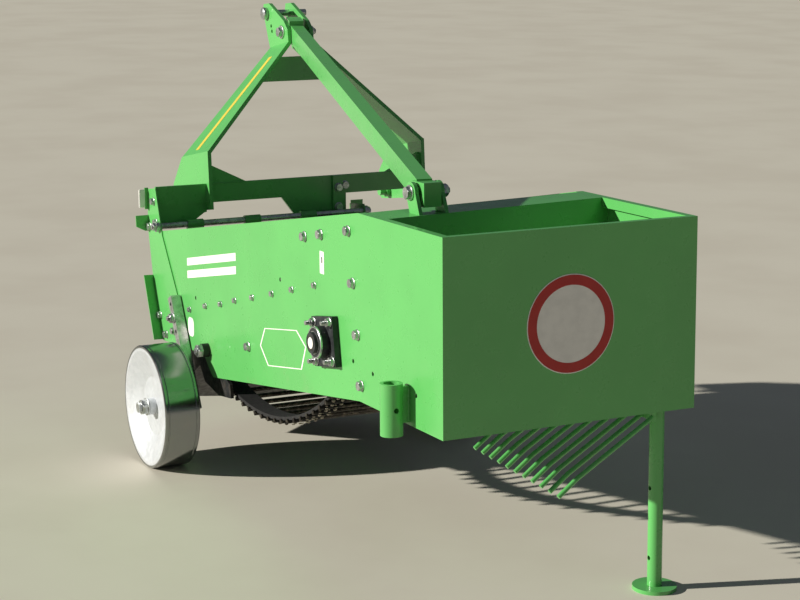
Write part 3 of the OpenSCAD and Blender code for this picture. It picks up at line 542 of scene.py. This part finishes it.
def bearing_details(looks):
    """The four long bolts of the flanged head bearing, its rings and the marked shaft end."""
    y0, z0 = BEARING
    half = looks.bearing_square / 2
    turn = math.radians(BEARING_TURN)
    bolts = Sketch()
    for a in (-1, 1):
        for b in (-1, 1):
            y = y0 + half * (a * math.cos(turn) - b * math.sin(turn))
            z = z0 + half * (a * math.sin(turn) + b * math.cos(turn))
            bolts.bolt((-HALF_W - FLANGE_OUT, y, z), LEFT, 17.0, stud=12.5, spin=0.5 * a + b)
    bolts.piece("bearing_bolts", "frame", material("bright_zinc_plate"))
    rings = Sketch()
    face = -HALF_W - BOSS_OUT
    rings.turned((face + 0.6, y0, z0), LEFT, [(34.9, -3.0), (34.9, 0.6), (33.8, 1.4), (31.6, 1.2),
                                             (31.2, -0.4), (25.5, -0.4), (25.2, 2.4), (20.0, 2.4),
                                             (19.0, 1.6)], sides=48)
    rings.piece("bearing_rings", "frame", material("bright_zinc_plate"))
    collar = Sketch()
    collar.turned((face - 1.0, y0, z0), LEFT, [(23.0, -1.0), (23.5, 0.5), (23.5, 6.5), (22.5, 8.0),
                                              (18.0, 8.0)], sides=40)
    collar.piece("bearing_collar", "frame", material("painted_cast_iron"))
    mark = Sketch()
    mark.turned((-HALF_W - SHAFT_OUT, y0, z0), LEFT, [(12.5, -0.2), (12.3, 0.4), (2.0, 0.5)], sides=28)
    mark.piece("shaft_end_mark", "frame", material("white_marker"))


def mast_bolts(looks):
    """Heads, washers and nuts at the mast head, the strut's rear eye and the gearbox plate."""
    made = Sketch()
    left = HITCH_X - TONGUE_X - LEG_T
    right = HITCH_X + TONGUE_X + LEG_T
    washer = [(17.0, 0.0), (18.0, 0.8), (18.0, 3.0), (17.0, 3.8)]
    made.turned((left, *STRUT_PIN), LEFT, washer, sides=36)
    made.hexagon((left - 3.8, *STRUT_PIN), LEFT, 24.0, 9.0, 0.2)
    made.turned((right, *STRUT_PIN), RIGHT, washer, sides=36)
    made.hexagon((right + 3.8, *STRUT_PIN), RIGHT, 24.0, 13.0, 0.5)
    made.thread((right + 16.8, *STRUT_PIN), RIGHT, 8.0, 7.0)
    made.turned((left - 6.0, *TOP_PIN), LEFT, [(15.5, 0.0), (16.5, 1.0), (16.5, 4.0), (15.0, 6.5),
                                                (10.0, 8.5)], sides=36)
    eye = strut_eye()
    for way, reach, tall in ((LEFT, -38.0, 8.0), (RIGHT, 38.0, 12.0)):
        at = Vector((eye.x + reach, eye.y, eye.z))
        made.turned(at - way * 4.0, way, [(15.0, 0.0), (16.0, 0.8), (16.0, 3.2), (15.0, 4.0)], sides=36)
        made.hexagon(at, way, 24.0, tall, 0.35)
    made.thread((eye.x + 50.0, eye.y, eye.z), RIGHT, 8.0, 5.0)
    for n, place in enumerate(GEARBOX_BOLTS):
        made.bolt(place, BACK, looks.plate_bolt, spin=0.4 * n)
    made.piece("mast_bolts", "frame", material("bright_zinc_plate"))


def strut_eye():
    """The rear eye of the back strut, from the bracket's box."""
    low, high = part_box("strut_bracket")
    middle = MACHINE.inverted() @ ((low + high) / 2)
    return Vector((middle.x, *STRUT_EYE))


def axle_ends(looks):
    """Washer, hexagon nut and thread over each wheel's spindle end."""
    for side, way, name in ((-1, LEFT, "left"), (1, RIGHT, "right")):
        made = Sketch()
        start = WHEEL_OUT_X - 5.7
        made.turned((side * start, AXLE_Y, AXLE_Z), way, [(21.0, 0.0), (22.0, 0.6), (22.0, 3.0), (21.0, 3.6)],
                    sides=40)
        made.hexagon((side * (start + 3.6), AXLE_Y, AXLE_Z), way, looks.axle_nut, 13.0, 0.3)
        made.thread((side * (start + 16.6), AXLE_Y, AXLE_Z), way, 13.2,
                    SPINDLE_END_X - start - 16.9)
        made.piece("axle_nut_" + name, "frame", material("bright_zinc_plate"))


def web_rivets(looks):
    """Pairs of rivet heads where every cross rod sits on a belt, found from the rods' ends."""
    node = frame["nodes"]["web"]
    inverse = MACHINE.inverted()
    points = [inverse @ v.co for v in node.data.vertices]
    end = max(p.x for p in points)
    ends = [p for p in points if p.x > end - 0.5]
    centres = []
    for p in ends:
        near = [c for c in centres if (c[0] - p).length < 9.0]
        if near:
            near[0][1].append(p)
        else:
            centres.append((p, [p]))
    rods = [sum(group, Vector()) / len(group) for _, group in centres]
    middle = sum(rods, Vector()) / len(rods)
    rods.sort(key=lambda p: math.atan2(p.z - middle.z, p.y - middle.y))
    made = Sketch()
    for k, rod in enumerate(rods):
        ahead, behind = rods[(k + 1) % len(rods)], rods[k - 1]
        along = (ahead - behind).normalized()
        out = Vector((0.0, along.z, -along.y))
        if out.dot(rod - middle) < 0 and abs(out.dot((rod - middle).normalized())) > 0.3:
            out = -out
        for belt in (-BELT_X, 0.0, BELT_X):
            for shift in (-looks.rivet_gap / 2, looks.rivet_gap / 2):
                at = Vector((belt + shift, rod.y, rod.z)) + out * 4.6
                made.turned(at, out, [(4.4, 0.0), (4.2, 1.6), (2.6, 2.6)], sides=8)
    made.piece("web_rivets", "frame", material("worn_rivets"))


# Signs, stripes and plates, all without words

def speed_sign(looks):
    """The round plate on the rear panel: white with a red ring, and blank."""
    centre = (-5.6, 0.0, 565.0)
    radius = looks.sign_size * 500.0
    disc = Sketch()
    disc.turned(centre, BACK, [(radius, 0.0), (radius, 0.5), (radius - 0.4, 0.8)], sides=96)
    disc.piece("speed_sign_disc", "frame", material("white_vinyl"))
    ring = Sketch()
    outer, inner = radius - 2.0, radius - looks.ring_width * 1000.0
    circle = [2 * math.pi * k / 96 for k in range(96)]
    rows = []
    for r, lift in ((outer, 0.7), (outer, 1.2), (inner, 1.2), (inner, 0.7)):
        rows.append([Vector((centre[0] + r * math.cos(a), -lift, centre[2] + r * math.sin(a)))
                     for a in circle])
    rows.append(rows[0])
    ring.rings(rows, False, False)
    bmesh.ops.remove_doubles(ring.bm, verts=ring.bm.verts, dist=0.001)
    ring.piece("speed_sign_ring", "frame", material("red_vinyl"))


def leg_point(along_width, height, lift):
    """A point on the outer face of the left mast leg's sloping part."""
    local = Matrix.Rotation(math.radians(SLOPE_DEG), 4, "Y") @ Vector((-lift, along_width, height))
    local = Matrix.Rotation(math.radians(-BEND_TILT_DEG), 4, "X") @ local
    return local + Vector((HITCH_X - MAST_HALF, BEND[0], BEND[1]))


def mast_stripe(looks):
    """A plain yellow stripe up the left mast leg."""
    width = looks.stripe_width * 1000.0
    made = Sketch()
    rows = []
    for y, lift in ((96, 0.1), (96, 0.5), (96 + width, 0.5), (96 + width, 0.1)):
        rows.append([leg_point(y, z, lift) for z in (18, 100, 190, 280, 352)])
    made.rings([list(r) for r in zip(*rows)])
    made.piece("mast_stripe", "frame", material("yellow_vinyl"))


def rounded(y0, y1, z0, z1, radius, x, steps=6):
    """Corner points of a rounded rectangle on the plane at x."""
    points = []
    for cy, cz, start in ((y1 - radius, z1 - radius, 0), (y0 + radius, z1 - radius, 90),
                          (y0 + radius, z0 + radius, 180), (y1 - radius, z0 + radius, 270)):
        for k in range(steps + 1):
            a = math.radians(start + 90 * k / steps)
            points.append(Vector((x, cy + radius * math.cos(a), cz + radius * math.sin(a))))
    return points


def blank_labels(looks):
    """Labels on the left plate: one with a slot, a rounded one, two plain bars and an empty outline."""
    skin = -HALF_W - 0.05
    white = Sketch()
    white.strip(rounded(545, 567, 604, 653, 1.5, skin), LEFT, 0.35)
    white.strip(rounded(1344, 1384, 322, 370, 14, skin), LEFT, 0.35)
    for low in (0, 32):
        bar = [Vector((skin, y, z + low + (1380 - y) * BAR_RISE)) for y, z in
               ((1380, 468), (1052, 468), (1052, 487), (1380, 487))]
        white.strip(bar, LEFT, 0.35)
    count = len(BADGE)
    middle = Vector((skin, sum(y for y, _ in BADGE) / count, sum(z for _, z in BADGE) / count))
    rows = []
    for shrink, lift in ((1.0, 0.0), (1.0, 0.35), (0.955, 0.35), (0.955, 0.0)):
        rows.append([middle.lerp(Vector((skin, y, z)), shrink) + LEFT * lift for y, z in BADGE])
    rows.append(rows[0])
    white.rings(rows, False, False)
    bmesh.ops.remove_doubles(white.bm, verts=white.bm.verts, dist=0.001)
    white.piece("blank_labels", "frame", material("white_vinyl"))
    dark = Sketch()
    dark.strip(rounded(553, 558, 627, 641, 2.0, skin - 0.4), LEFT, 0.2)
    dark.piece("label_slot", "frame", material("moulded_black_plastic"))


def reflector():
    """White reflector on the flange beside the left hitch tab."""
    made = Sketch()
    made.box((-318, 1649.0, 615), (-301.8, 1655.2, 662), 1.4)
    made.piece("reflector_white", "frame", material("white_vinyl"))


# Welds: beads along the joints of the welded frame

def welds(looks):
    """Weld beads where the beam, legs, gussets, tie, sockets and panels meet."""
    made = Sketch()
    bead = looks.weld_size * 1000.0
    leg_l = HITCH_X - MAST_HALF
    leg_r = HITCH_X + MAST_HALF
    for x in (leg_l + LEG_T, leg_r - LEG_T, leg_l):
        made.bead([(x, 1600, 626), (x, 1600, 671)], bead)
        made.bead([(x, 1611, 631), (x, 1647, 631)], bead)
        made.bead([(x, 1602, 622.5), (x, 1647, 622.5)], bead)
    for side in (-1, 1):
        x = HITCH_X + side * (MAST_HALF - LEG_T)
        made.bead([(x, 1600, 676), (x, 1600, 718)], bead)
        made.bead([(x - side * 4, 1600, 673), (x - side * 98, 1600, 673)], bead * 0.7)
        made.bead([(HITCH_X + side * 120, 1706, 926), (HITCH_X + side * 61, 1706, 985)], bead * 0.8)
        made.bead([(side * 287, 3.0, 372), (side * 287, 3.0, 745)], bead * 0.5)
    for x in (-187, -135):
        made.bead([(x, 285, BOX_TOP), (x, 323, BOX_TOP)], bead * 0.8)
    for y in (150, 143):
        made.bead([(-292, y, 372), (-292, y, 440)], bead * 0.8)
    made.bead([(224, 4.0, 388), (224, 4.0, 488)], bead * 0.8)
    made.piece("weld_beads", "frame", material("green_powder_coat"))


# Add-on parts

class DiggerLooks(bpy.types.PropertyGroup):
    """Sizes and colours of what the scene adds."""

    paint: bpy.props.StringProperty(name="Paint", description="Green of the powder coat, as sRGB hex",
                                    default="#5db25d")
    plate_bolt: bpy.props.FloatProperty(name="Plate bolt",
                                        description="Across flats of the larger plate bolts, mm",
                                        default=18.0, min=10.0, max=30.0)
    nose_bolt: bpy.props.FloatProperty(name="Nose bolt",
                                       description="Across flats of the nose plates' bolts, mm",
                                       default=16.0, min=10.0, max=24.0)
    strip_bolt: bpy.props.FloatProperty(name="Strip bolt",
                                        description="Across flats of the small row of bolts, mm",
                                        default=12.0, min=8.0, max=20.0)
    axle_nut: bpy.props.FloatProperty(name="Axle nut", description="Across flats of the spindle nuts, mm",
                                      default=35.5, min=30.0, max=42.0)
    bearing_square: bpy.props.FloatProperty(name="Bearing bolt square",
                                            description="Spacing of the bearing's bolts, mm",
                                            default=83.0, min=60.0, max=100.0)
    rivet_gap: bpy.props.FloatProperty(name="Rivet gap", description="Spacing of the two rivets of a rod, mm",
                                       default=22.0, min=12.0, max=30.0)
    sign_size: bpy.props.FloatProperty(name="Sign size", description="Diameter of the speed sign",
                                       default=0.2, min=0.1, max=0.25, unit="LENGTH")
    ring_width: bpy.props.FloatProperty(name="Ring width", description="Width of the sign's red ring",
                                        default=0.022, min=0.01, max=0.04, unit="LENGTH")
    stripe_width: bpy.props.FloatProperty(name="Stripe width",
                                          description="Width of the mast's yellow stripe",
                                          default=0.022, min=0.01, max=0.05, unit="LENGTH")
    weld_size: bpy.props.FloatProperty(name="Weld size", description="Radius of a weld bead",
                                       default=0.0035, min=0.001, max=0.008, unit="LENGTH")
    sun_power: bpy.props.FloatProperty(name="Key light", description="Strength of the sun lamp",
                                       default=5.8, min=0.5, max=12.0)
    sky_power: bpy.props.FloatProperty(name="Sky light", description="Strength of the soft light all round",
                                       default=0.13, min=0.05, max=2.0)


class DIGGER_OT_finishes(bpy.types.Operator):
    """Gives every CAD node the procedural finish of its slot"""

    bl_idname = "digger.finishes"
    bl_label = "Dress the frame"

    def execute(self, context):
        dress_frame(context.scene.digger_looks)
        return {"FINISHED"}


class DIGGER_OT_fasteners(bpy.types.Operator):
    """Adds bolts, nuts, rivets and the bearing's rings"""

    bl_idname = "digger.fasteners"
    bl_label = "Add fasteners"

    def execute(self, context):
        looks = context.scene.digger_looks
        body_bolts(looks)
        nose_bolts(looks)
        bearing_details(looks)
        mast_bolts(looks)
        axle_ends(looks)
        web_rivets(looks)
        return {"FINISHED"}


class DIGGER_OT_signs(bpy.types.Operator):
    """Adds the blank speed sign, labels, stripe and reflector"""

    bl_idname = "digger.signs"
    bl_label = "Add signs and stripes"

    def execute(self, context):
        looks = context.scene.digger_looks
        speed_sign(looks)
        mast_stripe(looks)
        blank_labels(looks)
        reflector()
        return {"FINISHED"}


class DIGGER_OT_welds(bpy.types.Operator):
    """Adds weld beads along the joints of the frame"""

    bl_idname = "digger.welds"
    bl_label = "Add welds"

    def execute(self, context):
        welds(context.scene.digger_looks)
        return {"FINISHED"}


class DIGGER_OT_stage(bpy.types.Operator):
    """Builds the floor, the lights and the camera"""

    bl_idname = "digger.stage"
    bl_label = "Build the studio"

    def execute(self, context):
        build_floor()
        build_world(context.scene.digger_looks)
        build_lights(context.scene.digger_looks)
        build_camera()
        return {"FINISHED"}


class DIGGER_PT_panel(bpy.types.Panel):
    """Sidebar panel with the sizes and the build steps"""

    bl_idname = "DIGGER_PT_panel"
    bl_label = "Potato digger"
    bl_space_type = "VIEW_3D"
    bl_region_type = "UI"
    bl_category = "Digger"

    def draw(self, context):
        looks = context.scene.digger_looks
        for name in looks.bl_rna.properties.keys():
            if name not in ("rna_type", "name"):
                self.layout.prop(looks, name)
        for operator in OPERATORS:
            self.layout.operator(operator.bl_idname)


def dress_frame(looks):
    """Makes all materials and assigns them to the CAD nodes by slot."""
    by_slot = finish_for_slots(looks)
    vinyl("white_vinyl", "#eceae4")
    vinyl("red_vinyl", "#b3211c")
    vinyl("yellow_vinyl", "#d9c24a")
    vinyl("white_marker", "#e6e3da", 0.5)
    made, tree, shader = new_material("worn_rivets")
    tone = mix_colour(tree, band(tree, noise(tree, 8.0), 0.35, 0.65), linear("#b9b1a2"), linear("#6b6459"))
    link(tree, shader, Base_Color=tone, Metallic=0.8, Roughness=0.4)
    slots = {s["node"]: s["material_slot"] for s in frame["record"]["subparts"]}
    for name, node in frame["nodes"].items():
        node.data.materials.clear()
        node.data.materials.append(by_slot[slots[name]])


# Studio

FLOOR_COLOUR = "#d9d4c4"
FLOOR_STAIN = "#d3cdbd"
LENS_PX = 2028.8
IMAGE_PX = 800.0
SENSOR_MM = 36.0
CAMERA_AT = (-2045.6, -3353.2, 1345.6)
CAMERA_AZIMUTH = -26.41
CAMERA_PITCH = 10.58
CAMERA_ROLL = -0.43
# The way the key light travels: how far a shadow runs for each metre of height
SHADOW_RUN = (2.6, -0.83, -1.0)


def build_floor():
    """A plain pale floor."""
    mesh = bpy.data.meshes.new("floor")
    reach = 40.0
    mesh.from_pydata([(-reach, -reach, 0), (reach, -reach, 0), (reach, reach, 0), (-reach, reach, 0)], [],
                     [(0, 1, 2, 3)])
    floor = bpy.data.objects.new("floor", mesh)
    bpy.context.scene.collection.objects.link(floor)
    made, tree, shader = new_material("pale_floor")
    colour = mix_colour(tree, band(tree, noise(tree, 700.0, 4.0), 0.35, 0.7), linear(FLOOR_COLOUR),
                        linear(FLOOR_STAIN))
    link(tree, shader, Base_Color=colour, Roughness=0.85, Specular_IOR_Level=0.2)
    floor.data.materials.append(made)


def build_world(looks):
    """Soft sky light, and a plain pale backdrop where the camera looks past the floor."""
    world = bpy.data.worlds.new("studio")
    bpy.context.scene.world = world
    world.use_nodes = True
    tree = world.node_tree
    tree.nodes.clear()
    light = add_node(tree, "Background", {"Color": linear("#cfdcf0"), "Strength": looks.sky_power})
    backdrop = add_node(tree, "Background", {"Color": linear("#c9c0b2"), "Strength": 1.0})
    ray = add_node(tree, "LightPath")
    seen = add_node(tree, "MixShader", {0: ray.outputs["Is Camera Ray"], 1: light.outputs[0],
                                        2: backdrop.outputs[0]})
    add_node(tree, "OutputWorld", {"Surface": seen.outputs[0]})


def build_lights(looks):
    """A key like a low sun from the machine's left and a little from the front."""
    data = bpy.data.lights.new("key", "SUN")
    data.energy = looks.sun_power
    data.angle = math.radians(0.9)
    data.color = (1.0, 0.965, 0.90)
    lamp = bpy.data.objects.new("key", data)
    lamp.rotation_mode = "QUATERNION"
    lamp.rotation_quaternion = Vector(SHADOW_RUN).to_track_quat("-Z", "Y")
    bpy.context.scene.collection.objects.link(lamp)


def build_camera():
    """The camera of the photograph, in machine axes and then placed with the parked lean."""
    az, pitch, roll = (math.radians(v) for v in (CAMERA_AZIMUTH, CAMERA_PITCH, CAMERA_ROLL))
    look = Vector((-math.sin(az) * math.cos(pitch), math.cos(az) * math.cos(pitch), -math.sin(pitch)))
    right = Vector((math.cos(az), math.sin(az), 0.0))
    up = right.cross(look)
    right, up = (right * math.cos(roll) + up * math.sin(roll), up * math.cos(roll) - right * math.sin(roll))
    turn = MACHINE.to_3x3() @ Matrix((right, up, -look)).transposed()
    turn = Matrix([row.normalized() for row in turn.transposed()]).transposed()
    data = bpy.data.cameras.new("camera")
    data.sensor_width = SENSOR_MM
    data.lens = SENSOR_MM * LENS_PX / IMAGE_PX
    data.clip_start = 0.05
    data.clip_end = 200.0
    camera = bpy.data.objects.new("camera", data)
    camera.matrix_world = Matrix.Translation(MACHINE @ Vector(CAMERA_AT)) @ turn.to_4x4()
    bpy.context.scene.collection.objects.link(camera)
    bpy.context.scene.camera = camera
    bpy.context.scene.view_settings.view_transform = "Standard"


OPERATORS = (DIGGER_OT_finishes, DIGGER_OT_fasteners, DIGGER_OT_signs, DIGGER_OT_welds, DIGGER_OT_stage)


def register():
    """Registers the add-on's classes and its settings."""
    for cls in (DiggerLooks, *OPERATORS, DIGGER_PT_panel):
        bpy.utils.register_class(cls)
    bpy.types.Scene.digger_looks = bpy.props.PointerProperty(type=DiggerLooks)


def unregister():
    """Takes the add-on's classes and settings away again."""
    del bpy.types.Scene.digger_looks
    for cls in reversed((DiggerLooks, *OPERATORS, DIGGER_PT_panel)):
        bpy.utils.unregister_class(cls)


def main():
    """Builds the whole look."""
    register()
    bpy.ops.digger.finishes()
    bpy.ops.digger.fasteners()
    bpy.ops.digger.signs()
    bpy.ops.digger.welds()
    bpy.ops.digger.stage()


if __name__ == "__main__":
    main()
